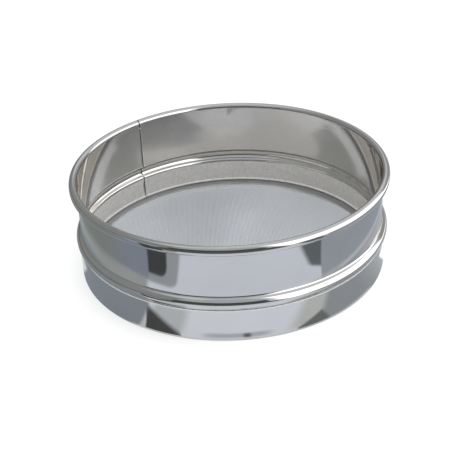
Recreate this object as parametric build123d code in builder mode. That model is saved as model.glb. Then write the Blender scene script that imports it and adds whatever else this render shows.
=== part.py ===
from build123d import *
import os
from math import acos, degrees, sqrt

# Drum sieve of polished sheet steel: a rolled drum wall, a hoop pressed over its lower half, and a woven
# mesh held between the two. Millimetres, +Z up, origin at the centre of the plane that it stands on.
# The drum's lap seam stands at the back, to the left of +Y.

# Overall
overall_height = 67.8
sheet_thickness = 0.8
seat_clearance = 0.05
cut_overrun = 1.0

# Drum wall: a rolled sheet with an outward curl at the rim, one outward bead and its foot bent inwards
wall_inner_radius = 99.8
curl_diameter = 5.2
curl_straight_height = 1.2
curl_end_gap = 0.15
bead_height = 7.5
bead_depth = 3.3
bead_blend_radius = 1.6
bead_centre_height = 26.8
foot_bend_radius = 0.6
foot_flat_width = 0.6

# Lap seam of the drum wall: a narrow gap on the inside, backed by the sheet's other end
seam_azimuth = 128.4
seam_gap = 0.35
lap_width = 8.0
lap_end_margin = 0.6

# Wire inside the curl
rim_wire_clearance = 0.1

# Hoop over the lower half of the drum, with its foot rolled inwards
hoop_thickness = 0.8
hoop_to_bead_gap = 0.4
hoop_edge_rounding = 0.3
foot_roll_diameter = 4.8
foot_flat_depth = 0.12
foot_roll_end_gap = 0.15
hoop_seam_width = 0.25
hoop_seam_depth = 0.2

# Flat ring on the foot roll, under the edge of the mesh
ring_thickness = 1.0
ring_width = 7.1
ring_edge_rounding = 0.2
ring_edge_clearance = 0.1

# Woven mesh, with its edge turned up between the drum and the hoop
mesh_thickness = 0.7
mesh_turn_up_height = 9.0
mesh_pitch = 10.3
mesh_strand_width = 1.2

# Places that follow from the sizes above
wall_outer_radius = wall_inner_radius + sheet_thickness
curl_radius = curl_diameter / 2
curl_centre_radius = wall_inner_radius + curl_radius
curl_centre_height = overall_height - curl_radius
curl_lower_height = curl_centre_height - curl_straight_height
curl_end_angle = degrees(acos((wall_outer_radius + curl_end_gap - curl_centre_radius) / curl_radius))
bead_arc_radius = ((bead_height / 2)**2 + bead_depth**2) / (2 * bead_depth)
bead_arc_centre_radius = wall_inner_radius + bead_depth - bead_arc_radius

mesh_skirt_inner_radius = wall_outer_radius + seat_clearance
mesh_skirt_outer_radius = mesh_skirt_inner_radius + mesh_thickness
hoop_inner_radius = mesh_skirt_outer_radius + seat_clearance
hoop_outer_radius = hoop_inner_radius + hoop_thickness
hoop_top_height = bead_centre_height - bead_height / 2 - hoop_to_bead_gap
foot_roll_radius = foot_roll_diameter / 2
foot_roll_centre_radius = hoop_outer_radius - foot_roll_radius
foot_roll_centre_height = foot_roll_radius - foot_flat_depth
foot_roll_end_reach = hoop_inner_radius - foot_roll_end_gap - foot_roll_centre_radius
foot_roll_end_angle = degrees(acos(foot_roll_end_reach / foot_roll_radius))

ring_edge_radius = hoop_inner_radius - ring_edge_clearance
ring_opening_radius = ring_edge_radius - ring_width
ring_bottom = foot_roll_centre_height + foot_roll_radius + seat_clearance
mesh_bottom = ring_bottom + ring_thickness + seat_clearance
wall_foot_height = mesh_bottom + mesh_thickness + seat_clearance
foot_bend_height = wall_foot_height + sheet_thickness + foot_bend_radius
foot_bend_centre_radius = wall_inner_radius - foot_bend_radius
foot_tip_radius = foot_bend_centre_radius - foot_flat_width
strands_across = 2 * round(ring_opening_radius / mesh_pitch)

lap_bottom = hoop_top_height + lap_end_margin
lap_top = curl_lower_height - curl_radius - lap_end_margin
lap_angle = degrees(lap_width / wall_outer_radius)
seam_plane = Plane.XZ.rotated((0, 0, seam_azimuth))


def bead_ends(side_radius, side_offset):
    """Gives the heights at which the bead leaves the wall's side, below and above."""
    half_chord = sqrt((bead_arc_radius + side_offset)**2 - (side_radius - bead_arc_centre_radius)**2)
    return bead_centre_height - half_chord, bead_centre_height + half_chord


def draw_wall_side(side_radius, side_offset, bottom, top):
    """Draws one side of the drum's sheet, upwards, into the open BuildLine; the bead bulges by its offset."""
    arc_radius = bead_arc_radius + side_offset
    bead_low, bead_high = bead_ends(side_radius, side_offset)
    Line((side_radius, bottom), (side_radius, bead_low))
    ThreePointArc((side_radius, bead_low),
                  (bead_arc_centre_radius + arc_radius, bead_centre_height),
                  (side_radius, bead_high))
    Line((side_radius, bead_high), (side_radius, top))


def draw_curl_side(arc_radius):
    """Draws one side of the curl, from the wall over the top, into the open BuildLine; gives its last arc."""
    over = CenterArc((curl_centre_radius, curl_centre_height), arc_radius, 180, -180)
    under = CenterArc((curl_centre_radius, curl_lower_height), arc_radius, 0, -curl_end_angle)
    Line(over @ 1, under @ 0)
    return under


def draw_block(inner, outer, bottom, top, mode=Mode.ADD):
    """Draws a rectangle between two radii and two heights into the open BuildSketch."""
    with Locations(((inner + outer) / 2, (bottom + top) / 2)):
        Rectangle(outer - inner, top - bottom, mode=mode)


def round_bead_ends(section, side_radius, side_offset, radius):
    """Rounds the two corners where the bead leaves the wall's side, in the open BuildSketch."""
    for height in bead_ends(side_radius, side_offset):
        fillet(section.vertices().sort_by_distance((side_radius, height))[0], radius)


# Drum wall
with BuildPart() as drum_wall:
    with BuildSketch(Plane.XZ) as wall_section:
        with BuildLine():
            draw_wall_side(wall_inner_radius, 0, foot_bend_height, curl_centre_height)
            curl_outside = draw_curl_side(curl_radius)
            curl_inside = draw_curl_side(curl_radius - sheet_thickness)
            Line(curl_outside @ 1, curl_inside @ 1)
            draw_wall_side(wall_outer_radius, sheet_thickness, foot_bend_height, curl_centre_height)
            bend_inside = CenterArc((foot_bend_centre_radius, foot_bend_height), foot_bend_radius, 0, -90)
            bend_outside = CenterArc((foot_bend_centre_radius, foot_bend_height),
                                     foot_bend_radius + sheet_thickness, 0, -90)
            Polyline(bend_inside @ 1,
                     (foot_tip_radius, wall_foot_height + sheet_thickness),
                     (foot_tip_radius, wall_foot_height),
                     bend_outside @ 1)
        make_face()
        round_bead_ends(wall_section, wall_inner_radius, 0, bead_blend_radius + sheet_thickness)
        round_bead_ends(wall_section, wall_outer_radius, sheet_thickness, bead_blend_radius)
    revolve(axis=Axis.Z)
    with BuildSketch(seam_plane):
        draw_block(foot_tip_radius - cut_overrun, curl_centre_radius + curl_radius + cut_overrun,
                   wall_foot_height - cut_overrun, overall_height + cut_overrun)
    extrude(amount=seam_gap / 2, both=True, mode=Mode.SUBTRACT)
    with BuildSketch(Plane.XZ.rotated((0, 0, seam_azimuth - lap_angle / 2))):
        with BuildLine():
            draw_wall_side(wall_outer_radius, sheet_thickness, wall_foot_height, curl_centre_height)
            draw_wall_side(wall_outer_radius + sheet_thickness, 2 * sheet_thickness,
                           wall_foot_height, curl_centre_height)
            for lap_edge_height in (wall_foot_height, curl_centre_height):
                Line((wall_outer_radius, lap_edge_height),
                     (wall_outer_radius + sheet_thickness, lap_edge_height))
        make_face()
        draw_block(wall_inner_radius, curl_centre_radius + curl_radius, lap_bottom, lap_top,
                   mode=Mode.INTERSECT)
    revolve(axis=Axis.Z, revolution_arc=lap_angle)
drum_wall.part.label = "drum_wall"

# Rim wire
with BuildPart() as rim_wire:
    with BuildSketch(Plane.XZ):
        with Locations((curl_centre_radius, curl_centre_height)):
            Circle(curl_radius - sheet_thickness - rim_wire_clearance)
    revolve(axis=Axis.Z)
rim_wire.part.label = "rim_wire"

# Clamping hoop
with BuildPart() as clamping_hoop:
    with BuildSketch(Plane.XZ) as hoop_section:
        with BuildLine():
            for side_radius in (hoop_inner_radius, hoop_outer_radius):
                Line((side_radius, hoop_top_height), (side_radius, foot_roll_centre_height))
            Line((hoop_inner_radius, hoop_top_height), (hoop_outer_radius, hoop_top_height))
            roll_outside = CenterArc((foot_roll_centre_radius, foot_roll_centre_height), foot_roll_radius,
                                     0, foot_roll_end_angle - 360)
            roll_inside = CenterArc((foot_roll_centre_radius, foot_roll_centre_height),
                                    foot_roll_radius - hoop_thickness, 0, foot_roll_end_angle - 360)
            Line(roll_outside @ 1, roll_inside @ 1)
        make_face()
        fillet(hoop_section.vertices().group_by(Axis.Y)[-1], hoop_edge_rounding)
    revolve(axis=Axis.Z)
    split(bisect_by=Plane.XY, keep=Keep.TOP)
    with BuildSketch(seam_plane):
        draw_block(hoop_outer_radius - hoop_seam_depth, hoop_outer_radius + cut_overrun,
                   foot_roll_diameter, hoop_top_height + cut_overrun)
    extrude(amount=hoop_seam_width / 2, both=True, mode=Mode.SUBTRACT)
clamping_hoop.part.label = "clamping_hoop"

# Mesh support ring
with BuildPart() as mesh_support_ring:
    with BuildSketch(Plane.XZ) as ring_section:
        draw_block(ring_opening_radius, ring_edge_radius, ring_bottom, ring_bottom + ring_thickness)
        fillet(ring_section.vertices(), ring_edge_rounding)
    revolve(axis=Axis.Z)
mesh_support_ring.part.label = "mesh_support_ring"

# Woven mesh: the cloth's wires are gathered into a coarser net, with its edge turned up all round
with BuildPart() as woven_mesh:
    with BuildSketch(Plane.XY.offset(mesh_bottom)) as cloth:
        with GridLocations(0, mesh_pitch, 1, strands_across):
            Rectangle(2 * ring_opening_radius, mesh_strand_width)
        with GridLocations(mesh_pitch, 0, strands_across, 1):
            Rectangle(mesh_strand_width, 2 * ring_opening_radius)
        Circle(mesh_skirt_outer_radius, mode=Mode.INTERSECT)
        with BuildSketch():
            Circle(mesh_skirt_outer_radius)
            Circle(ring_opening_radius, mode=Mode.SUBTRACT)
    extrude(amount=mesh_thickness)
    with BuildSketch(Plane.XY.offset(mesh_bottom)):
        Circle(mesh_skirt_outer_radius)
        Circle(mesh_skirt_inner_radius, mode=Mode.SUBTRACT)
    extrude(amount=mesh_turn_up_height)
print("gaps in the mesh:", len(cloth.sketch.faces()[0].inner_wires()))
woven_mesh.part.label = "woven_mesh"

# Files
os.makedirs("parts", exist_ok=True)
for piece in (drum_wall, rim_wire, clamping_hoop, mesh_support_ring, woven_mesh):
    export_step(piece.part, f"parts/{piece.part.label}.step")
    print(piece.part.label, len(piece.part.solids()), round(piece.part.volume, 1))
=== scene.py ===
"""Drum sieve of polished sheet steel, dressed for its studio picture.

A drum wall with a curled rim and one bead, a hoop over its lower half, and a woven mesh between the two.
Metres, +Z up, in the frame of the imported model.
"""

import logging
import math
from collections.abc import Callable, Iterator
from contextlib import contextmanager
from dataclasses import dataclass
from enum import Enum

import bmesh
import bpy
from mathutils import Matrix, Vector


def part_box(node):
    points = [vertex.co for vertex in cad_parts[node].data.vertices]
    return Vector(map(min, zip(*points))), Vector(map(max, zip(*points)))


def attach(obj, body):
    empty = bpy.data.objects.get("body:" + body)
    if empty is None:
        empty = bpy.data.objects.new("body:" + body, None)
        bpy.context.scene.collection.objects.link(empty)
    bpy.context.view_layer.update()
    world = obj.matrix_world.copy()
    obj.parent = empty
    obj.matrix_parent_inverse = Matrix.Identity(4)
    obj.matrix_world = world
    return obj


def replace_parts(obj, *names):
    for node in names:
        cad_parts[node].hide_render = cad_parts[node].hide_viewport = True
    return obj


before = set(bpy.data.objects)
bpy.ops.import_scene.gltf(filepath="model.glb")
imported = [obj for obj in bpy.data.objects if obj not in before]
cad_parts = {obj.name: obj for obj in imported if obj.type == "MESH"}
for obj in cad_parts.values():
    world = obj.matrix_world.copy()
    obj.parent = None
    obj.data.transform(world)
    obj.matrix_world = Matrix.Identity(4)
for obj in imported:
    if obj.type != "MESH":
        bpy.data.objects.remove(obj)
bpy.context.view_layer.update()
BODY = "root"
LOG = logging.getLogger("drum_sieve")

MM = 0.001
FULL_TURN = 2 * math.pi
HALF_TURN_DEGREES = 180.0
# Points nearer than this are one point
WELD = 0.002 * MM
# Edges flatter than this are shaded smooth
SMOOTH_ANGLE = math.radians(32)
# Edges sharper than this are cut edges, which get rounded in a few strips
CUT_ANGLE = math.radians(60)
CUT_STRIPS = 3
# Faces whose normal rises less than this stand upright
UPRIGHT = 0.5
# A line gets holding points where it is longer than this number of their distances
LEAST_HOLDS = 3
WHITE = (1.0, 1.0, 1.0)
BLACK = (0.0, 0.0, 0.0)
# Limits of a soft panel that reach past all there is: round the drum, down, from the axis and far out
ALL_ROUND = 200.0
DOWN = -90.0
AXIS = -50.0
FAR = 9000.0

Point = tuple[float, float]
Triple = tuple[float, float, float]
Colour = tuple[float, float, float]


def deselect_all() -> None:
    """Leaves edit mode and takes the selection off every object."""
    if bpy.context.object and bpy.context.object.mode != "OBJECT":
        bpy.ops.object.mode_set(mode="OBJECT")
    bpy.ops.object.select_all(action="DESELECT")


def choose(piece: bpy.types.Object) -> None:
    """Selects one piece alone and makes it the active one.

    Args:
        piece: The piece that the next operators work on.
    """
    deselect_all()
    piece.select_set(True)
    bpy.context.view_layer.objects.active = piece


@contextmanager
def edit_whole(piece: bpy.types.Object) -> Iterator[None]:
    """Opens a piece in edit mode with all of it selected, and closes it afterwards.

    Args:
        piece: The mesh that is worked on.

    Yields:
        Nothing, while the piece is open.
    """
    choose(piece)
    bpy.ops.object.mode_set(mode="EDIT")
    bpy.ops.mesh.select_all(action="SELECT")
    yield
    bpy.ops.object.mode_set(mode="OBJECT")


def select_points(piece: bpy.types.Object, chosen: Callable[[Vector], bool]) -> None:
    """Selects points of a piece that is open in edit mode, and leaves the others.

    Args:
        piece: The open piece.
        chosen: Test of a point's place.
    """
    bpy.ops.mesh.select_all(action="DESELECT")
    net = bmesh.from_edit_mesh(piece.data)
    for point in net.verts:
        point.select_set(chosen(point.co))
    net.select_flush(True)


def apply_modifier(piece: bpy.types.Object, kind: str, **settings: object) -> None:
    """Adds a modifier to a piece, sets it and applies it.

    Args:
        piece: The mesh that is worked on.
        kind: The modifier's type, as Blender names it.
        settings: The modifier's own values.
    """
    choose(piece)
    modifier = piece.modifiers.new(kind.lower(), kind)
    for name, value in settings.items():
        setattr(modifier, name, value)
    bpy.ops.object.modifier_apply(modifier=modifier.name)


def repeat_piece(piece: bpy.types.Object, count: int, way: Triple, joined: bool = False) -> None:
    """Repeats a piece in a row.

    Args:
        piece: The mesh that is worked on.
        count: Number of copies in all.
        way: The step from one copy to the next.
        joined: True where each copy's end is merged with the next one's start.
    """
    apply_modifier(piece, "ARRAY", count=count, use_relative_offset=False, use_constant_offset=True,
                   constant_offset_displace=way, use_merge_vertices=joined, merge_threshold=WELD)


def tidy_mesh(piece: bpy.types.Object) -> None:
    """Merges doubled points of a piece and turns its faces outwards."""
    with edit_whole(piece):
        bpy.ops.mesh.remove_doubles(threshold=WELD)
        bpy.ops.mesh.normals_make_consistent(inside=False)


def shift_points(piece: bpy.types.Object, way: Triple) -> None:
    """Moves all points of a piece, and leaves its origin where it is."""
    with edit_whole(piece):
        bpy.ops.transform.translate(value=way)


def place_piece(piece: bpy.types.Object, turn: float) -> None:
    """Turns a piece about the drum's axis and writes its place into its mesh.

    Args:
        piece: The piece.
        turn: The turn in radians, anticlockwise from above.
    """
    choose(piece)
    piece.rotation_euler.z = turn
    bpy.ops.object.transform_apply(location=True, rotation=True, scale=True)


def face_axis(piece: bpy.types.Object, looks_in: bool) -> None:
    """Turns a strip's faces so that the face nearest the drum's axis looks at the axis, or away from it.

    Args:
        piece: A turned strip, one face thick.
        looks_in: True where the nearest face looks at the axis.
    """
    upright = [face for face in piece.data.polygons if abs(face.normal.z) < UPRIGHT]
    nearest = min(upright, key=lambda face: face.center.xy.length)
    if (nearest.normal.xy.dot(nearest.center.xy) < 0) != looks_in:
        with edit_whole(piece):
            bpy.ops.mesh.flip_normals()


def round_cut_edges(piece: bpy.types.Object, reach: float) -> None:
    """Rounds the cut edges of a piece, and shades it smooth apart from its sharp edges.

    Args:
        piece: The piece.
        reach: How far the rounding reaches from the edge.
    """
    apply_modifier(piece, "BEVEL", width=reach, segments=CUT_STRIPS, limit_method="ANGLE",
                   angle_limit=CUT_ANGLE)
    choose(piece)
    bpy.ops.object.shade_smooth_by_angle(angle=SMOOTH_ANGLE)


def thicken(piece: bpy.types.Object, thickness: float, edge_round: float) -> None:
    """Gives a turned strip its thickness behind its drawn side, and rounds its cut edges.

    Args:
        piece: The strip, one face thick, with its drawn side outwards.
        thickness: The sheet's thickness.
        edge_round: How far the rounding of the cut edges reaches.
    """
    apply_modifier(piece, "SOLIDIFY", thickness=thickness, offset=-1.0, use_even_offset=True)
    round_cut_edges(piece, edge_round)


def dress(piece: bpy.types.Object, finish: bpy.types.Material) -> None:
    """Gives a piece one finish all over.

    Args:
        piece: The piece, with or without a material so far.
        finish: The finish's material.
    """
    if not piece.material_slots:
        piece.data.materials.append(finish)
    for place in piece.material_slots:
        place.material = finish


class NodeBench:
    """Places and joins the nodes of one tree."""

    # Sockets of the colour mixer: its factor, the lower and the upper colour, and its result
    mixer_inputs: tuple[int, int, int] = (0, 6, 7)
    mixer_result: int = 2

    def __init__(self, tree: bpy.types.NodeTree) -> None:
        """Takes the tree that is worked on."""
        self.tree = tree

    def add(self, kind: str, **values: object) -> bpy.types.Node:
        """Places a node and sets the named inputs.

        Args:
            kind: The node's type, as Blender names it.
            values: Input names, with underscores for spaces, and their values.

        Returns:
            The node.
        """
        node = self.tree.nodes.new(kind)
        for name, value in values.items():
            node.inputs[name.replace("_", " ")].default_value = value
        return node

    def group(self, tree: bpy.types.NodeTree, values: dict[str, object]) -> bpy.types.Node:
        """Places a node group and sets the named inputs.

        Args:
            tree: The group's tree.
            values: Input names and their values.

        Returns:
            The group's node.
        """
        node = self.tree.nodes.new("ShaderNodeGroup")
        node.node_tree = tree
        for name, value in values.items():
            node.inputs[name].default_value = value
        return node

    def join(self, source: bpy.types.NodeSocket, target: bpy.types.NodeSocket) -> None:
        """Links an output to an input."""
        self.tree.links.new(source, target)

    def feed(self, value: object, target: bpy.types.NodeSocket) -> None:
        """Links an output to an input, or sets the input where the value is a plain one.

        Args:
            value: An output, a number or a colour.
            target: The input.
        """
        if isinstance(value, bpy.types.NodeSocket):
            self.join(value, target)
        elif isinstance(value, tuple) and target.type == "RGBA":
            target.default_value = (*value, 1)
        else:
            target.default_value = value

    def math(self, operation: str, *values: object) -> bpy.types.NodeSocket:
        """Places a Math node.

        Args:
            operation: The node's operation.
            values: Outputs or numbers, in the order of its inputs.

        Returns:
            The node's output.
        """
        node = self.tree.nodes.new("ShaderNodeMath")
        node.operation = operation
        for value, target in zip(values, node.inputs):
            self.feed(value, target)
        return node.outputs[0]

    def length(self, across: bpy.types.NodeSocket, along: bpy.types.NodeSocket) -> bpy.types.NodeSocket:
        """Gives the length of a vector from two outputs at right angles."""
        squares = [self.math("POWER", part, 2.0) for part in (across, along)]
        return self.math("SQRT", self.math("ADD", *squares))

    def place(self, coordinate: str) -> bpy.types.Node:
        """Separates one of the texture coordinates.

        Args:
            coordinate: The coordinate's name.

        Returns:
            The node with its X, Y and Z.
        """
        separate = self.add("ShaderNodeSeparateXYZ")
        self.join(self.add("ShaderNodeTexCoord").outputs[coordinate], separate.inputs[0])
        return separate

    def azimuth(self, place: bpy.types.Node) -> bpy.types.NodeSocket:
        """Gives the azimuth of a separated vector, in degrees from -Y, anticlockwise from above."""
        forward = self.math("MULTIPLY", place.outputs["Y"], -1.0)
        return self.math("DEGREES", self.math("ARCTAN2", place.outputs["X"], forward))

    def edge(self, depth: bpy.types.NodeSocket) -> bpy.types.NodeSocket:
        """Gives a soft edge.

        Args:
            depth: Depth inside the edge, in widths of its blur.

        Returns:
            0 outside the edge and 1 inside it, with a smooth step that is one width wide.
        """
        node = self.add("ShaderNodeMapRange", From_Min=-0.5, From_Max=0.5)
        node.interpolation_type = "SMOOTHSTEP"
        self.join(depth, node.inputs["Value"])
        return node.outputs[0]

    def blend(self, mask: object, under: object, over: object) -> bpy.types.NodeSocket:
        """Lays one colour over another by a mask.

        Args:
            mask: 0 where the lower colour shows and 1 where the upper one does, an output or a number.
            under: The lower colour, an output or three numbers.
            over: The upper colour, an output or three numbers.

        Returns:
            The mixed colour.
        """
        node = self.tree.nodes.new("ShaderNodeMix")
        node.data_type = "RGBA"
        for value, socket in zip((mask, under, over), self.mixer_inputs):
            self.feed(value, node.inputs[socket])
        return node.outputs[self.mixer_result]


class GrainRun(Enum):
    """Which way a sheet's or a wire's grain runs, as the scale of its noise along X, Y and Z."""

    ROUND_THE_DRUM = (20.0, 20.0, 2500.0)
    ALONG_THE_STRIP = (900.0, 900.0, 60.0)
    FINE_ALL_OVER = (1500.0, 1500.0, 1500.0)


class SteelEffects:
    """Node groups for what all steel finishes share: fine grain, and clouds for shade, spots and waves."""

    grain_detail: float = 4.0
    cloud_detail: float = 2.0
    layer_roughness: float = 0.55
    lowest_noise: float = 0.3
    highest_noise: float = 0.7

    def __init__(self) -> None:
        """Builds the groups."""
        self.grain = self.noise_group("steel_grain", self.grain_detail)
        self.clouds = self.noise_group("steel_clouds", self.cloud_detail)

    def noise_group(self, name: str, detail: float) -> bpy.types.NodeTree:
        """Builds a group that gives stretched noise between 0 and 1.

        Args:
            name: The group's name.
            detail: Number of the noise's finer layers.

        Returns:
            The group, with the input Stretch and the output Value.
        """
        tree = bpy.data.node_groups.new(name, "ShaderNodeTree")
        tree.interface.new_socket("Stretch", in_out="INPUT", socket_type="NodeSocketVector")
        tree.interface.new_socket("Value", in_out="OUTPUT", socket_type="NodeSocketFloat")
        bench = NodeBench(tree)
        given = bench.add("NodeGroupInput").outputs
        stretched = tree.nodes.new("ShaderNodeVectorMath")
        stretched.operation = "MULTIPLY"
        bench.join(bench.add("ShaderNodeTexCoord").outputs["Object"], stretched.inputs[0])
        bench.join(given["Stretch"], stretched.inputs[1])
        noise = bench.add("ShaderNodeTexNoise", Scale=1.0, Detail=detail, Roughness=self.layer_roughness)
        bench.join(stretched.outputs[0], noise.inputs["Vector"])
        spread = bench.add("ShaderNodeMapRange", From_Min=self.lowest_noise, From_Max=self.highest_noise)
        bench.join(noise.outputs["Fac"], spread.inputs["Value"])
        bench.join(spread.outputs[0], bench.add("NodeGroupOutput").inputs["Value"])
        return tree

    def lay(self, bench: NodeBench, tree: bpy.types.NodeTree, stretch: Triple) -> bpy.types.NodeSocket:
        """Places one of the groups in a material, and gives its value."""
        return bench.group(tree, {"Stretch": stretch}).outputs["Value"]


@dataclass(frozen=True)
class DullBand:
    """A stretch of a sheet's height that the polishing wheel doesn't reach, with soft limits.

    It starts below everything and ends above everything, unless its limits say otherwise.
    """

    low: float = -1.0
    high: float = 1.0
    colour: Colour = (0.94, 0.92, 0.88)
    metallic: float = 0.2
    roughness: float = 0.42
    blur: float = 0.6 * MM
    mottle_scale: float = 420.0
    mottle_shade: float = 0.14


@dataclass(frozen=True)
class SteelFinish:
    """A steel surface: its colour, polish, grain and waves, and a duller band where it has one."""

    name: str
    effects: SteelEffects
    colour: Colour = (0.74, 0.71, 0.67)
    metallic: float = 1.0
    roughness: float = 0.06
    roughness_spread: float = 0.02
    run: GrainRun = GrainRun.ROUND_THE_DRUM
    grain_depth: float = 0.0008 * MM
    wave_stretch: Triple = (38.0, 38.0, 9.0)
    wave_depth: float = 0.02 * MM
    cloud_stretch: Triple = (45.0, 45.0, 70.0)
    cloud_shade: float = 0.05
    dull: DullBand | None = None

    def dull_mask(self, bench: NodeBench) -> bpy.types.NodeSocket:
        """Gives 1 inside the duller band and 0 outside it.

        Args:
            bench: The bench of the material.

        Returns:
            The mask.
        """
        height = bench.place("Object").outputs["Z"]
        depth = bench.math("MINIMUM", bench.math("SUBTRACT", height, self.dull.low),
                           bench.math("SUBTRACT", self.dull.high, height))
        return bench.edge(bench.math("DIVIDE", depth, self.dull.blur))

    def spotted(self, bench: NodeBench, stretch: Triple, colour: Colour,
                shade: float) -> tuple[bpy.types.NodeSocket, bpy.types.NodeSocket]:
        """Gives a colour that is a little darker in cloudy spots.

        Args:
            bench: The bench of the material.
            stretch: Scale of the spots along X, Y and Z.
            colour: The colour between the spots.
            shade: How much darker the spots are, as a share.

        Returns:
            The colour, and the clouds that it follows.
        """
        clouds = self.effects.lay(bench, self.effects.clouds, stretch)
        darker = tuple(part * (1 - shade) for part in colour)
        return bench.blend(clouds, darker, colour), clouds

    def rippled(self, bench: NodeBench, grain: bpy.types.NodeSocket) -> bpy.types.NodeSocket:
        """Gives the surface's normal, turned by the sheet's slow waves and by its grain.

        Args:
            bench: The bench of the material.
            grain: The grain's value.

        Returns:
            The normal.
        """
        waves = self.effects.lay(bench, self.effects.clouds, self.wave_stretch)
        bumps = [bench.add("ShaderNodeBump", Strength=1.0, Distance=depth)
                 for depth in (self.wave_depth, self.grain_depth)]
        for height, bump in zip((waves, grain), bumps):
            bench.join(height, bump.inputs["Height"])
        bench.join(bumps[0].outputs["Normal"], bumps[1].inputs["Normal"])
        return bumps[1].outputs["Normal"]

    def material(self) -> bpy.types.Material:
        """Builds the finish.

        Returns:
            The material.
        """
        made = bpy.data.materials.new(self.name)
        made.use_nodes = True
        bench = NodeBench(made.node_tree)
        shader = made.node_tree.nodes["Principled BSDF"]
        shader.inputs["Metallic"].default_value = self.metallic
        colour, clouds = self.spotted(bench, self.cloud_stretch, self.colour, self.cloud_shade)
        grain = self.effects.lay(bench, self.effects.grain, self.run.value)
        rough = bench.math("MULTIPLY_ADD", bench.math("MULTIPLY", grain, clouds), self.roughness_spread,
                           self.roughness)
        if self.dull:
            mask = self.dull_mask(bench)
            spots = (self.dull.mottle_scale,) * 3
            dulled, _ = self.spotted(bench, spots, self.dull.colour, self.dull.mottle_shade)
            colour = bench.blend(mask, colour, dulled)
            rough = bench.math("MULTIPLY_ADD", mask, self.dull.roughness, rough)
            metallic = bench.math("MULTIPLY_ADD", mask, self.dull.metallic - self.metallic, self.metallic)
            bench.join(metallic, shader.inputs["Metallic"])
        bench.join(colour, shader.inputs["Base Color"])
        bench.join(rough, shader.inputs["Roughness"])
        bench.join(self.rippled(bench, grain), shader.inputs["Normal"])
        return made


class SectionPen:
    """Draws the section of a rolled strip, to the right of the drum's axis, and turns it into the strip."""

    def __init__(self, name: str, start: Point) -> None:
        """Sets the pen on a first point.

        Args:
            name: The new piece's name.
            start: Radius and height of the first point.
        """
        deselect_all()
        bpy.ops.mesh.primitive_plane_add(size=MM)
        self.piece = bpy.context.active_object
        self.piece.name = name
        self.tip = Vector((start[0], 0, start[1]))
        bpy.ops.object.mode_set(mode="EDIT")
        bpy.ops.mesh.select_all(action="SELECT")
        bpy.ops.mesh.merge(type="CENTER")
        bpy.ops.transform.translate(value=self.tip)

    def line_to(self, radius: float, height: float, hold: float = 0.0) -> None:
        """Draws a straight line, with a holding point near each end where one is asked for.

        Args:
            radius: Radius of the line's end.
            height: Height of the line's end.
            hold: Distance of the holding points from the ends.
        """
        end = Vector((radius, 0, height))
        way = end - self.tip
        stops = [end]
        if hold and way.length > LEAST_HOLDS * hold:
            stops = [self.tip + way.normalized() * hold, end - way.normalized() * hold, end]
        for stop in stops:
            bpy.ops.mesh.extrude_region_move(TRANSFORM_OT_translate={"value": stop - self.tip})
            self.tip = stop

    def arc(self, centre: Point, sweep: float, steps: int) -> None:
        """Draws an arc about a centre, anticlockwise where the sweep is above zero.

        Args:
            centre: Radius and height of the arc's centre.
            sweep: Angle of the arc in radians.
            steps: Number of its chords.
        """
        middle = Vector((centre[0], 0, centre[1]))
        bpy.ops.mesh.spin(steps=steps, angle=sweep, center=middle, axis=(0, 1, 0))
        arm = self.tip - middle
        arm.rotate(Matrix.Rotation(-sweep, 3, "Y"))
        self.tip = middle + arm

    def turn_round(self, steps: int, angle: float = FULL_TURN) -> bpy.types.Object:
        """Turns the section about the drum's axis.

        Args:
            steps: Number of steps round the drum.
            angle: How far the section is turned, in radians.

        Returns:
            The turned piece, one face thick.
        """
        bpy.ops.mesh.select_all(action="SELECT")
        bpy.ops.mesh.spin(steps=steps, angle=angle, center=(0, 0, 0), axis=(0, 0, -1))
        bpy.ops.object.mode_set(mode="OBJECT")
        tidy_mesh(self.piece)
        return self.piece


@dataclass
class SheetGauge:
    """Sizes that the drum, the hoop and the mesh share."""

    sheet: float = 0.8 * MM
    seat: float = 0.05 * MM
    steps_round: int = 360
    hold: float = 0.35 * MM
    seam_azimuth: float = math.radians(128.4)


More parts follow.
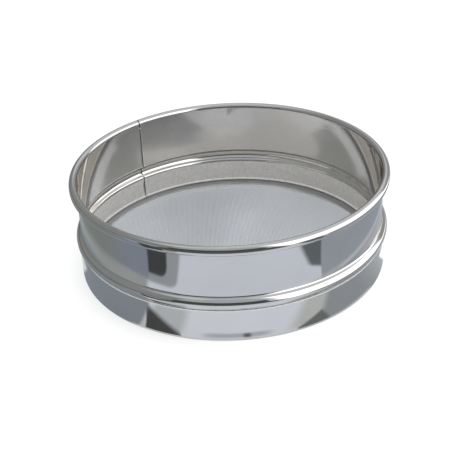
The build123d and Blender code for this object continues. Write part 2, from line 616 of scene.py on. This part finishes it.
@dataclass
class Drum:
    """The rolled drum: wall, bead and curl in one sheet, a lap strip behind its seam, and the rim wire."""

    gauge: SheetGauge
    sheet_finish: SteelFinish
    wire_finish: SteelFinish
    # Dark finish of the lap strip's inner side: painted shade in the seam's gap
    seam_shade_finish: SteelFinish
    curl_diameter: float = 5.2 * MM
    curl_straight: float = 1.2 * MM
    curl_end_gap: float = 0.15 * MM
    curl_arc_steps: int = 20
    bead_height: float = 7.5 * MM
    bead_depth: float = 3.3 * MM
    bead_blend: float = 1.6 * MM
    bead_centre: float = 26.8 * MM
    bead_steps: int = 22
    blend_steps: int = 7
    foot_bend: float = 0.6 * MM
    foot_flat: float = 0.6 * MM
    foot_steps: int = 6
    seam_gap: float = 0.75 * MM
    notch_low: float = 8.2 * MM
    notch_high: float = 20.5 * MM
    notch_depth: float = 1.2 * MM
    notch_rows: int = 12
    edge_round: float = 0.22 * MM
    lap_width: float = 8.0 * MM
    lap_low: float = 23.25 * MM
    lap_high: float = 61.2 * MM
    lap_steps: int = 6

    @property
    def inner_radius(self) -> float:
        """Radius of the wall's inner side."""
        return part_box("drum_wall")[1].x - self.curl_diameter

    @property
    def bead_arc(self) -> float:
        """Radius of the bead's inner side in section."""
        half_chord = self.bead_height / 2
        return (half_chord**2 + self.bead_depth**2) / (2 * self.bead_depth)

    @property
    def bead_arc_centre(self) -> Point:
        """Centre of the bead's arc in section."""
        return self.inner_radius + self.bead_depth - self.bead_arc, self.bead_centre

    @property
    def notch_heights(self) -> list[float]:
        """Heights of the points that shape the seam's notch, with its two ends."""
        reach = self.notch_high - self.notch_low
        return [self.notch_low + reach * row / self.notch_rows for row in range(self.notch_rows + 1)]

    def blend_place(self, side: float, offset: float, blend: float) -> Point:
        """Gives where the rounding between a side and the bead has its centre.

        Args:
            side: Radius of the wall's side.
            offset: How far that side lies outside the wall's inner side.
            blend: Radius of the rounding.

        Returns:
            The centre's distance from the bead's centre, across and up.
        """
        across = side + blend - self.bead_arc_centre[0]
        return across, math.sqrt((self.bead_arc + offset + blend)**2 - across**2)

    def draw_bead(self, pen: SectionPen, side: float, offset: float, blend: float,
                  start: float = 0.0) -> None:
        """Draws the wall's side upwards through the bead, with rounded corners.

        Args:
            pen: The pen, below the bead on the side or, with a start, on the bead's arc.
            side: Radius of the wall's side.
            offset: How far that side lies outside the wall's inner side.
            blend: Radius of the rounded corners.
            start: Angle below the bead's middle where the pen stands on the arc, or zero.
        """
        across, rise = self.blend_place(side, offset, blend)
        lean = math.atan2(rise, across)
        if not start:
            pen.line_to(side, self.bead_centre - rise, self.gauge.hold)
            pen.arc((side + blend, self.bead_centre - rise), -lean, self.blend_steps)
            start = lean
        pen.arc(self.bead_arc_centre, start + lean, self.bead_steps)
        pen.arc((side + blend, self.bead_centre + rise), -lean, self.blend_steps)

    def build_sheet(self) -> bpy.types.Object:
        """Makes the drum's sheet, with its seam open and its top edge curled.

        Returns:
            The finished piece.
        """
        inner = self.inner_radius
        curl = self.curl_diameter / 2
        curl_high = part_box("drum_wall")[1].z - curl
        curl_low = curl_high - self.curl_straight
        curl_end = math.acos((self.gauge.sheet + self.curl_end_gap - curl) / curl)
        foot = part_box("drum_wall")[0].z + self.gauge.sheet
        bend = inner - self.foot_bend
        pen = SectionPen("drum_sheet", (bend - self.foot_flat, foot))
        pen.line_to(bend, foot)
        pen.arc((bend, foot + self.foot_bend), math.pi / 2, self.foot_steps)
        for height in self.notch_heights:
            pen.line_to(inner, height)
        self.draw_bead(pen, inner, 0.0, self.bead_blend + self.gauge.sheet)
        pen.line_to(inner, curl_high, self.gauge.hold)
        pen.arc((inner + curl, curl_high), -math.pi, self.curl_arc_steps)
        pen.line_to(inner + 2 * curl, curl_low)
        pen.arc((inner + curl, curl_low), -curl_end, self.curl_arc_steps)
        gap_angle = self.seam_gap / inner
        piece = pen.turn_round(self.gauge.steps_round, FULL_TURN - gap_angle)
        self.notch_end(piece)
        face_axis(piece, looks_in=True)
        thicken(piece, self.gauge.sheet, self.edge_round)
        place_piece(piece, self.gauge.seam_azimuth + gap_angle / 2)
        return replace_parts(piece, "drum_wall")

    def notch_end(self, piece: bpy.types.Object) -> None:
        """Moves the sheet's end back in a shallow curve under the bead, where the seam gapes a little.

        Args:
            piece: The turned sheet, one face thick, with its end on +X.
        """
        low, *between, high = self.notch_heights
        middle = (low + high) / 2
        with edit_whole(piece):
            for height in between:
                select_points(piece, self.end_test(height))
                depth = self.notch_depth * (1 - ((height - middle) / (high - middle))**2)
                bpy.ops.transform.rotate(value=-depth / self.inner_radius, orient_axis="Z",
                                         center_override=(0, 0, 0))

    def end_test(self, height: float) -> Callable[[Vector], bool]:
        """Gives the test for the points at one height of a turned section's end on +X."""
        return lambda place: place.x > 0 and abs(place.y) < WELD and abs(place.z - height) < WELD

    def build_lap(self) -> bpy.types.Object:
        """Makes the strip of the sheet's other end, which closes the seam from behind.

        Returns:
            The finished piece.
        """
        offset = 2 * self.gauge.sheet
        side = self.inner_radius + offset
        arc_radius = self.bead_arc + offset
        start = math.asin((self.bead_centre - self.lap_low) / arc_radius)
        start_radius = self.bead_arc_centre[0] + arc_radius * math.cos(start)
        pen = SectionPen("drum_lap_strip", (start_radius, self.lap_low))
        self.draw_bead(pen, side, offset, self.bead_blend - self.gauge.sheet, start)
        pen.line_to(side, self.lap_high, self.gauge.hold)
        lap_angle = self.lap_width / side
        piece = pen.turn_round(self.lap_steps, lap_angle)
        face_axis(piece, looks_in=False)
        thicken(piece, self.gauge.sheet - self.gauge.seat, self.edge_round)
        place_piece(piece, self.gauge.seam_azimuth - lap_angle / 2)
        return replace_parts(piece, "drum_wall")

    def paint_seam_shade(self, lap: bpy.types.Object) -> None:
        """Gives the side of the lap strip that shows through the seam a dark finish, painted shade for the
        seam's gap.

        Args:
            lap: The lap strip, dressed so far in one finish.
        """
        # The inward faces, which show through the seam, take the painted seam shade
        lap.data.materials.append(self.seam_shade_finish.material())
        for face in lap.data.polygons:
            if face.normal.xy.dot(face.center.xy) < 0:
                face.material_index = 1

    def build(self) -> list[bpy.types.Object]:
        """Makes the sheet and the lap strip, and dresses them and the frame's own rim wire.

        Returns:
            The two new pieces.
        """
        sheet, lap = self.build_sheet(), self.build_lap()
        for piece in (sheet, lap):
            dress(piece, self.sheet_finish.material())
        self.paint_seam_shade(lap)
        dress(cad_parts["rim_wire"], self.wire_finish.material())
        return [sheet, lap]


@dataclass
class Hoop:
    """The band over the drum's lower half, with its foot rolled inwards."""

    gauge: SheetGauge
    finish: SteelFinish
    foot_roll: float = 4.8 * MM
    foot_flat_depth: float = 0.12 * MM
    foot_end_gap: float = 0.15 * MM
    quarter_roll_steps: int = 10
    edge_round: float = 0.25 * MM
    seam_gap: float = 0.12 * MM

    def build(self) -> list[bpy.types.Object]:
        """Makes the hoop's sheet, with its foot pressed flat where it rests, and dresses it.

        Returns:
            The finished piece, alone in a list.
        """
        outer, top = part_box("clamping_hoop")[1].xz
        roll = self.foot_roll / 2
        centre = (outer - roll, roll - self.foot_flat_depth)
        flat_lean = math.acos(centre[1] / roll)
        end_angle = math.acos((roll - self.gauge.sheet - self.foot_end_gap) / roll)
        pen = SectionPen("hoop_sheet", (outer, top))
        pen.line_to(outer, centre[1], self.gauge.hold)
        pen.arc(centre, flat_lean - math.pi / 2, self.quarter_roll_steps)
        pen.line_to(centre[0] - roll * math.sin(flat_lean), 0.0)
        pen.arc(centre, end_angle + math.pi / 2 + flat_lean - FULL_TURN, 3 * self.quarter_roll_steps)
        gap_angle = self.seam_gap / outer
        piece = pen.turn_round(self.gauge.steps_round, FULL_TURN - gap_angle)
        face_axis(piece, looks_in=True)
        thicken(piece, self.gauge.sheet, self.edge_round)
        place_piece(piece, self.gauge.seam_azimuth + gap_angle / 2)
        dress(piece, self.finish.material())
        return [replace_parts(piece, "clamping_hoop")]


@dataclass
class MeshPack:
    """What the hoop holds up against the drum: the flat ring, and the woven cloth with its edge."""

    gauge: SheetGauge
    ring_finish: SteelFinish
    wire_finish: SteelFinish
    pitch: float = 0.9 * MM
    wire: float = 0.27 * MM
    wire_sides: int = 4
    ring_corner: float = 0.2 * MM
    edge_sheet: float = 0.5 * MM
    edge_round: float = 0.125 * MM
    edge_bend: float = 0.7 * MM
    edge_bend_steps: int = 6
    edge_cover: float = 1.2 * MM

    @property
    def ring_opening(self) -> float:
        """Radius of the ring's opening, where its innermost points lie."""
        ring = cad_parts["mesh_support_ring"]
        return min(point.co.xy.length for point in ring.data.vertices)

    @property
    def cloth_reach(self) -> float:
        """Radius out to which the cloth's wires lie flat."""
        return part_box("woven_mesh")[1].x - self.edge_bend

    def build_ring(self) -> bpy.types.Object:
        """Makes the flat ring under the edge of the cloth.

        Returns:
            The finished piece.
        """
        low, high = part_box("mesh_support_ring")
        inner = self.ring_opening
        pen = SectionPen("support_ring_strip", (inner, low.z))
        for radius, height in ((high.x, low.z), (high.x, high.z), (inner, high.z), (inner, low.z)):
            pen.line_to(radius, height, self.gauge.hold)
        piece = pen.turn_round(self.gauge.steps_round)
        round_cut_edges(piece, self.ring_corner)
        dress(piece, self.ring_finish.material())
        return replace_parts(piece, "mesh_support_ring")

    def wire_wave(self, name: str) -> bpy.types.Object:
        """Makes one wave of a wire along X: over one crossing wire and under the next.

        Args:
            name: The piece's name.

        Returns:
            A short tube of two bays, whose first ring is the wave's top.
        """
        deselect_all()
        bpy.ops.mesh.primitive_circle_add(vertices=self.wire_sides, radius=self.wire / 2,
                                          rotation=(0, math.pi / 2, 0))
        piece = bpy.context.active_object
        piece.name = name
        bpy.ops.object.transform_apply(location=True, rotation=True, scale=True)
        with edit_whole(piece):
            bpy.ops.transform.translate(value=(self.pitch / 2, self.pitch / 2, self.wire / 2))
            for drop in (-self.wire, self.wire):
                bpy.ops.mesh.extrude_region_move(TRANSFORM_OT_translate={"value": (self.pitch, 0, drop)})
        return piece

    def trim_round(self, piece: bpy.types.Object) -> None:
        """Cuts wires off at the round edge of the cloth, and closes their ends.

        Args:
            piece: The wires, centred on the drum's axis.
        """
        reach = self.cloth_reach
        with edit_whole(piece):
            select_points(piece, lambda place: place.xy.length > reach)
            bpy.ops.mesh.delete(type="VERT")
            bpy.ops.mesh.select_all(action="SELECT")
            bpy.ops.mesh.fill_holes(sides=self.wire_sides)
            bpy.ops.mesh.select_all(action="SELECT")
            bpy.ops.mesh.normals_make_consistent(inside=False)

    def half_cloth(self, name: str) -> bpy.types.Object:
        """Weaves the wires along X that lie behind the middle, out to the round edge.

        Args:
            name: The piece's name.

        Returns:
            Half of the cloth's wires in one direction.
        """
        bays = 2 * math.ceil(self.cloth_reach / (2 * self.pitch))
        piece = self.wire_wave(name)
        repeat_piece(piece, bays, (2 * self.pitch, 0, 0), joined=True)
        shift_points(piece, (-bays * self.pitch, 0, 0))
        choose(piece)
        bpy.ops.object.duplicate()
        second = bpy.context.active_object
        shift_points(second, (self.pitch, self.pitch, 0))
        choose(piece)
        second.select_set(True)
        bpy.ops.object.join()
        repeat_piece(piece, bays // 2, (0, 2 * self.pitch, 0))
        self.trim_round(piece)
        shift_points(piece, (0, 0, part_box("woven_mesh")[0].z + self.wire))
        choose(piece)
        bpy.ops.object.shade_smooth()
        return piece

    def build_cloth(self) -> list[bpy.types.Object]:
        """Makes the four halves of the cloth's wires, each the first one turned by a quarter more.

        Returns:
            The finished pieces.
        """
        first = self.half_cloth("cloth_weft_back")
        pieces = [first]
        turned = ("cloth_warp_left", "cloth_weft_front", "cloth_warp_right")
        for quarter, name in enumerate(turned, start=1):
            choose(first)
            bpy.ops.object.duplicate()
            copy = bpy.context.active_object
            copy.name = name
            place_piece(copy, quarter * math.pi / 2)
            pieces.append(copy)
        return pieces

    def build_edge(self) -> bpy.types.Object:
        """Makes the cloth's edge, pressed flat and turned up between the drum and the hoop.

        Returns:
            The finished piece.
        """
        low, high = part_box("woven_mesh")
        bend = self.cloth_reach
        pen = SectionPen("cloth_turned_edge", (bend - self.edge_cover, low.z))
        pen.line_to(bend, low.z, self.gauge.hold)
        pen.arc((bend, low.z + self.edge_bend), math.pi / 2, self.edge_bend_steps)
        pen.line_to(high.x, high.z, self.gauge.hold)
        piece = pen.turn_round(self.gauge.steps_round)
        face_axis(piece, looks_in=False)
        thicken(piece, self.edge_sheet, self.edge_round)
        return piece

    def build(self) -> list[bpy.types.Object]:
        """Makes the ring, the cloth and its edge, and dresses them.

        Returns:
            The finished pieces.
        """
        cloth = [*self.build_cloth(), self.build_edge()]
        finish = self.wire_finish.material()
        for piece in cloth:
            dress(piece, finish)
            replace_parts(piece, "woven_mesh")
        return [self.build_ring(), *cloth]


@dataclass(frozen=True)
class SoftPanel:
    """A soft-edged panel of the surroundings, as the steel mirrors it.

    Azimuths are in degrees from the camera's side, anticlockwise from above. Heights are degrees above the
    horizon for a panel of the sky, and millimetres from the drum's axis for a patch of the floor. The lean
    turns the panel's sides about the hinge's height, in degrees of azimuth for each unit of height, and the
    tilt turns its low and high edges about its middle. The corner is the radius of its corners, in widths
    of the blur.
    """

    name: str
    azimuth: float
    half_width: float
    low: float
    high: float
    colour: Colour
    side_blur: float = 12.0
    height_blur: float = 15.0
    lean: float = 0.0
    hinge: float = 0.0
    tilt: float = 0.0
    corner: float = 0.5

    @property
    def settings(self) -> dict[str, float]:
        """The inputs of the panel group, with this panel's values."""
        return {"Middle": self.azimuth, "Half Width": self.half_width, "Low": self.low, "High": self.high,
                "Side Blur": self.side_blur, "Height Blur": self.height_blur, "Lean": self.lean,
                "Hinge": self.hinge, "Tilt": self.tilt, "Corner": self.corner}


class SoftPanelGroup:
    """Node group that gives the mask of one soft panel."""

    inputs: tuple[str, ...] = ("Azimuth", "Height", "Middle", "Half Width", "Low", "High", "Side Blur",
                               "Height Blur", "Lean", "Hinge", "Tilt", "Corner")

    def __init__(self) -> None:
        """Builds the group."""
        self.tree = bpy.data.node_groups.new("soft_panel", "ShaderNodeTree")
        for name in self.inputs:
            self.tree.interface.new_socket(name, in_out="INPUT", socket_type="NodeSocketFloat")
        self.tree.interface.new_socket("Mask", in_out="OUTPUT", socket_type="NodeSocketFloat")
        bench = NodeBench(self.tree)
        given = bench.add("NodeGroupInput").outputs
        turn = bench.math("SUBTRACT", given["Azimuth"], given["Middle"])
        turn = bench.math("WRAP", turn, HALF_TURN_DEGREES, -HALF_TURN_DEGREES)
        rise = bench.math("SUBTRACT", given["Height"], given["Hinge"])
        sideways = bench.math("SUBTRACT", turn, bench.math("MULTIPLY", rise, given["Lean"]))
        upwards = bench.math("SUBTRACT", given["Height"], bench.math("MULTIPLY", turn, given["Tilt"]))
        inside = bench.math("SUBTRACT", given["Half Width"], bench.math("ABSOLUTE", sideways))
        between = bench.math("MINIMUM", bench.math("SUBTRACT", upwards, given["Low"]),
                             bench.math("SUBTRACT", given["High"], upwards))
        short = []
        for depth, blur in ((inside, given["Side Blur"]), (between, given["Height Blur"])):
            missing = bench.math("SUBTRACT", given["Corner"], bench.math("DIVIDE", depth, blur))
            short.append(bench.math("MAXIMUM", missing, 0.0))
        mask = bench.edge(bench.math("SUBTRACT", given["Corner"], bench.length(*short)))
        bench.join(mask, bench.add("NodeGroupOutput").inputs["Mask"])

    def lay(self, bench: NodeBench, panels: tuple[SoftPanel, ...], azimuth: bpy.types.NodeSocket,
            height: bpy.types.NodeSocket, colour: object) -> object:
        """Lays panels over a colour, the last one on top.

        Args:
            bench: The bench of the material or world.
            panels: The panels, in order.
            azimuth: Azimuth of the shaded point.
            height: Its height, or its distance from the drum's axis.
            colour: The colour under the panels.

        Returns:
            The colour with the panels on it.
        """
        for panel in panels:
            node = bench.group(self.tree, panel.settings)
            node.label = panel.name
            bench.join(azimuth, node.inputs["Azimuth"])
            bench.join(height, node.inputs["Height"])
            colour = bench.blend(node.outputs["Mask"], colour, panel.colour)
        return colour


@dataclass
class Studio:
    """Floor, light and camera of the picture, with the panels that the polished steel mirrors.

    The floor shows in the hoop up to about 145 mm from the drum's axis, in the wall above it out to about
    210 mm, and farther out in the bead and the rim. Later panels lie over earlier ones.
    """

    picture_side: float = 450.0
    sensor: float = 36.0
    focal_pixels: float = 1100.0
    elevation: float = math.radians(29.83)
    roll: float = math.radians(-2.975)
    offset: Triple = (2.5 * MM, -36.4 * MM, 723.0 * MM)
    aim_height: float = 65.2 * MM
    floor_size: float = 12.0
    floor_colour: Colour = (0.8, 0.8, 0.81)
    floor_glow: float = 0.85
    floor_shade: float = 0.25
    ceiling: Colour = (0.65, 0.69, 0.75)
    fill_light: float = 0.9
    key_power: float = 0.7
    key_place: Triple = (0.9, -0.5, 1.1)
    key_size: float = 0.9
    sky: tuple[SoftPanel, ...] = (
        SoftPanel("back_left", -145, 48, DOWN, 24, (0.20, 0.22, 0.22), side_blur=15, height_blur=8),
        SoftPanel("back_right", 150, 34, DOWN, 24, (0.34, 0.35, 0.35), side_blur=12, height_blur=8),
        SoftPanel("left_side", -95, 80, DOWN, 60, (0.27, 0.29, 0.30), height_blur=20),
        SoftPanel("left_horizon", -95, 80, DOWN, 11, (0.17, 0.18, 0.18), height_blur=6),
        SoftPanel("camera_side_high", -11, 33, DOWN, 80, (0.45, 0.48, 0.53), side_blur=4, height_blur=14),
        SoftPanel("camera_side", -11, 33, DOWN, 29, (0.07, 0.08, 0.08), side_blur=4, height_blur=6),
        SoftPanel("window_side", 76, 48, DOWN, 48.5, (1.75, 1.78, 1.85), side_blur=6, height_blur=8,
                  tilt=-0.3),
    )
    # Painted shade and light on the floor under the drum, seen through the cloth: darker under it and on
    # its left, lighter on its right
    shaded_floor: tuple[SoftPanel, ...] = (
        SoftPanel("shade_under_drum", 0, ALL_ROUND, AXIS, 97, (0.81, 0.845, 0.885), height_blur=4),
        SoftPanel("shade_left", -90, 80, 20, 97, (0.62, 0.65, 0.67), side_blur=50, height_blur=40),
        SoftPanel("shade_right", 90, 80, 20, 97, (0.98, 1.02, 1.07), side_blur=50, height_blur=40),
    )
    # Painted reflections: patches on the floor that only glossy rays see, standing for the light, shade and
    # shadows the steel mirrors; under the cloth the floor glows brighter than white so the inner wall
    # mirrors it lighter
    floor: tuple[SoftPanel, ...] = (
        SoftPanel("under_cloth", 0, ALL_ROUND, AXIS, 97, (1.25, 1.28, 1.31), height_blur=4),
        SoftPanel("brown_haze", 180, 100, 10, 60, (1.0, 0.99, 0.95), side_blur=30, height_blur=20),
        SoftPanel("right_haze", 180, 45, 58, 85, (0.50, 0.51, 0.48), side_blur=16, height_blur=8),
        SoftPanel("dark_sector", 108, 44, 20, 96, (0.45, 0.455, 0.44), side_blur=14, height_blur=14),
        SoftPanel("near_floor", 0, ALL_ROUND, 100, FAR, (0.71, 0.76, 0.87), height_blur=4),
        SoftPanel("front_floor", 0, ALL_ROUND, 145, FAR, (0.63, 0.68, 0.79), height_blur=15),
        SoftPanel("left_halo", -38, 9, 152, FAR, (0.322, 0.355, 0.397), side_blur=2, height_blur=4,
                  corner=2),
        SoftPanel("left_card", -42, 6.8, 162, FAR, (0.058, 0.064, 0.070), side_blur=0.9, height_blur=3,
                  lean=-0.054, hinge=168, corner=4),
        SoftPanel("left_rose", -29, 8, 103, 135, (0.50, 0.543, 0.60), side_blur=5, height_blur=12),
        SoftPanel("left_wedge", -26.3, 7.3, 60, 113, (0.072, 0.076, 0.079), side_blur=1, height_blur=7,
                  lean=-0.278, hinge=100, tilt=-1.086),
        SoftPanel("left_floor_near", -95, 58, 100, 140, (0.25, 0.29, 0.337), side_blur=3, height_blur=6,
                  lean=-0.1, hinge=100),
        SoftPanel("left_floor_band", -95, 52, 136, 156, (0.34, 0.38, 0.39), side_blur=3, height_blur=6,
                  lean=-0.1, hinge=134),
        SoftPanel("left_floor_far", -95, 50, 154, FAR, (0.225, 0.265, 0.335), side_blur=0.8, height_blur=6,
                  lean=-0.11, hinge=160),
        SoftPanel("far_left_floor", -94, 26, 150, FAR, (0.225, 0.25, 0.245), side_blur=30, height_blur=20),
        SoftPanel("right_card", 46.5, 7, 157.5, FAR, (0.125, 0.145, 0.163), side_blur=4, height_blur=4,
                  lean=-0.1, hinge=165, tilt=-1.09),
        SoftPanel("right_moss", 42, 10, 106, 146, (0.52, 0.555, 0.57), side_blur=8, height_blur=8,
                  lean=0.46, hinge=135),
        SoftPanel("right_floor_near", 101, 55.8, 100, 142.5, (0.30, 0.334, 0.372), side_blur=5,
                  height_blur=6, lean=0.46, hinge=135),
        SoftPanel("right_pale", 100, 30, 100, 140, (0.45, 0.485, 0.52), side_blur=30, height_blur=6),
        SoftPanel("right_wedge", 28.8, 7, 60, 111, (0.16, 0.175, 0.19), side_blur=2.5, height_blur=3,
                  tilt=0.7),
        SoftPanel("front_foot_band", 0, 12, 106.5, 111, (0.46, 0.495, 0.57), side_blur=7, height_blur=3),
        SoftPanel("front_foot_spot", 3.4, 1.4, 106.5, 110.5, (0.14, 0.145, 0.15), side_blur=2,
                  height_blur=3),
        SoftPanel("foot_strip", 10, 50, 90, 104.8, (0.66, 0.68, 0.72), side_blur=8, height_blur=2),
        SoftPanel("right_floor_far", 98, 52.2, 145, FAR, (0.319, 0.362, 0.416), side_blur=1, height_blur=8,
                  lean=0.13, hinge=160),
        SoftPanel("left_gleam", -89, 6, 103, 112, (0.7, 0.72, 0.75), side_blur=4, height_blur=3),
        SoftPanel("right_gleam", 87, 6, 101, 112, (1.2, 1.22, 1.26), side_blur=3, height_blur=3),
        SoftPanel("back_left_floor", -143, 48, 190, FAR, (0.25, 0.27, 0.27), side_blur=15, height_blur=30),
        SoftPanel("back_right_floor", 150, 32, 190, FAR, (0.42, 0.43, 0.43), side_blur=12, height_blur=30),
        SoftPanel("far_front_floor", -8, 37, 210, FAR, (0.09, 0.095, 0.10), side_blur=6, height_blur=8),
        SoftPanel("far_window_floor", 76, 48, 240, FAR, (1.6, 1.63, 1.7), side_blur=6, height_blur=20),
    )

    def set_camera(self) -> None:
        """Puts the camera where the photograph was taken from."""
        down_cos, down_sin = math.cos(self.elevation), math.sin(self.elevation)
        level = Matrix(((1, 0, 0), (0, -down_sin, -down_cos), (0, down_cos, -down_sin)))
        rolled = Matrix.Rotation(self.roll, 3, "Z") @ level
        data = bpy.data.cameras.new("studio_camera")
        data.sensor_width = self.sensor
        data.lens = self.sensor * self.focal_pixels / self.picture_side
        camera = bpy.data.objects.new("studio_camera", data)
        bpy.context.scene.collection.objects.link(camera)
        place = -(rolled.transposed() @ Vector(self.offset)) + Vector((0, 0, self.aim_height))
        turned = Matrix((rolled[0], -rolled[1], -rolled[2])).transposed().to_4x4()
        camera.matrix_world = Matrix.Translation(place) @ turned
        bpy.context.scene.camera = camera

    def set_world(self, panels: SoftPanelGroup) -> None:
        """Gives the surroundings: white to the camera, even for fill, and panels for the steel to mirror.

        Args:
            panels: The group that lays the panels.
        """
        world = bpy.data.worlds.new("studio_world")
        bpy.context.scene.world = world
        world.use_nodes = True
        bench = NodeBench(world.node_tree)
        way = bench.place("Generated")
        height = bench.math("DEGREES", bench.math("ARCSINE", way.outputs["Z"]))
        colour = panels.lay(bench, self.sky, bench.azimuth(way), height, self.ceiling)
        path = bench.add("ShaderNodeLightPath").outputs
        colour = bench.blend(path["Is Glossy Ray"], (self.fill_light,) * 3, colour)
        colour = bench.blend(path["Is Camera Ray"], colour, WHITE)
        bench.join(colour, world.node_tree.nodes["Background"].inputs["Color"])

    def floor_finish(self, panels: SoftPanelGroup) -> bpy.types.Material:
        """Makes the pale floor's finish: white with a faint shadow to the camera, and panels in the steel.

        Args:
            panels: The group that lays the panels.

        Returns:
            The material.
        """
        made = bpy.data.materials.new("pale_floor")
        made.use_nodes = True
        bench = NodeBench(made.node_tree)
        made.node_tree.nodes.remove(made.node_tree.nodes["Principled BSDF"])
        path = bench.add("ShaderNodeLightPath").outputs
        spot = bench.place("Object")
        azimuth = bench.azimuth(spot)
        reach = bench.math("DIVIDE", bench.length(spot.outputs["X"], spot.outputs["Y"]), MM)
        # Camera rays see white with the painted shade under the drum; glossy rays see the painted
        # reflections laid over it
        shaded = panels.lay(bench, self.shaded_floor, azimuth, reach, WHITE)
        mirrored = panels.lay(bench, self.floor, azimuth, reach, shaded)
        seen = bench.blend(path["Is Camera Ray"], mirrored, shaded)
        lit = bench.add("ShaderNodeBsdfDiffuse", Color=(*self.floor_colour, 1))
        faint = bench.add("ShaderNodeBsdfDiffuse")
        glow = bench.add("ShaderNodeEmission", Strength=self.floor_glow)
        bench.join(bench.blend(self.floor_shade, BLACK, seen), faint.inputs["Color"])
        bench.join(seen, glow.inputs["Color"])
        white = bench.add("ShaderNodeAddShader")
        choice = bench.add("ShaderNodeMixShader")
        looked_at = bench.math("MAXIMUM", path["Is Camera Ray"], path["Is Glossy Ray"])
        surface = made.node_tree.nodes["Material Output"].inputs["Surface"]
        for source, target in ((faint.outputs[0], white.inputs[0]), (glow.outputs[0], white.inputs[1]),
                               (looked_at, choice.inputs[0]), (lit.outputs[0], choice.inputs[1]),
                               (white.outputs[0], choice.inputs[2]), (choice.outputs[0], surface)):
            bench.join(source, target)
        return made

    def lay_floor(self, panels: SoftPanelGroup) -> None:
        """Lays the floor.

        Args:
            panels: The group that lays the panels.
        """
        deselect_all()
        bpy.ops.mesh.primitive_plane_add(size=self.floor_size)
        floor = bpy.context.active_object
        floor.name = "studio_floor"
        dress(floor, self.floor_finish(panels))

    def hang_key(self) -> None:
        """Hangs the soft key light, which the steel doesn't mirror, because a panel stands for it there."""
        data = bpy.data.lights.new("key_softbox", "AREA")
        data.shape = "DISK"
        data.size = self.key_size
        data.energy = self.key_power
        light = bpy.data.objects.new("key_softbox", data)
        bpy.context.scene.collection.objects.link(light)
        light.location = self.key_place
        light.rotation_euler = Vector(self.key_place).to_track_quat("Z", "Y").to_euler()
        light.visible_glossy = False

    def build(self) -> None:
        """Sets up the whole studio."""
        panels = SoftPanelGroup()
        self.set_camera()
        self.set_world(panels)
        self.lay_floor(panels)
        self.hang_key()
        bpy.context.scene.view_settings.view_transform = "Standard"


@dataclass
class SieveFinishes:
    """The finishes of the sieve's pieces, and where the polish of the wall and the hoop stops."""

    effects: SteelEffects
    wall_polish_low: float = 21.3 * MM
    hoop_polish_high: float = 22.05 * MM

    @property
    def wall(self) -> SteelFinish:
        """The drum's sheet, dull from the foot to below the bead."""
        return SteelFinish("polished_wall_steel", self.effects, dull=DullBand(high=self.wall_polish_low))

    @property
    def hoop(self) -> SteelFinish:
        """The hoop's sheet, dull on its cut upper edge."""
        edge = DullBand(low=self.hoop_polish_high, colour=(0.93, 0.93, 0.93), metallic=0.15, blur=0.15 * MM,
                        mottle_shade=0.02)
        return SteelFinish("polished_hoop_steel", self.effects, cloud_shade=0.03, dull=edge)

    @property
    def seam(self) -> SteelFinish:
        """What the seam shows of the lap strip."""
        # Painted shade: a near-black colour for the shadow in the seam's gap
        return SteelFinish("seam_shade_steel", self.effects, colour=(0.16, 0.155, 0.145), metallic=0.6,
                           roughness=0.5)

    @property
    def ring(self) -> SteelFinish:
        """The flat ring under the cloth."""
        return SteelFinish("rolled_strip_steel", self.effects, colour=(0.84, 0.81, 0.76), metallic=0.25,
                           roughness=0.5, roughness_spread=0.1)

    @property
    def cloth(self) -> SteelFinish:
        """The wires of the cloth."""
        return SteelFinish("bright_wire_steel", self.effects, colour=(0.58, 0.60, 0.63), roughness=0.28,
                           run=GrainRun.FINE_ALL_OVER)

    @property
    def rim_wire(self) -> SteelFinish:
        """The wire inside the curl."""
        return SteelFinish("drawn_rim_steel", self.effects, colour=(0.55, 0.56, 0.57), roughness=0.3,
                           run=GrainRun.ALONG_THE_STRIP)


def main() -> None:
    """Builds the sieve and its studio, and reports each piece."""
    logging.basicConfig(level=logging.INFO, format="%(asctime)s %(name)s: %(message)s")
    gauge = SheetGauge()
    finishes = SieveFinishes(SteelEffects())
    parts = (Drum(gauge, finishes.wall, finishes.rim_wire, finishes.seam), Hoop(gauge, finishes.hoop),
             MeshPack(gauge, finishes.ring, finishes.cloth))
    for part in parts:
        for piece in part.build():
            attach(piece, BODY)
            LOG.info("%s: %d faces", piece.name, len(piece.data.polygons))
    Studio().build()


if __name__ == "__main__":
    main()
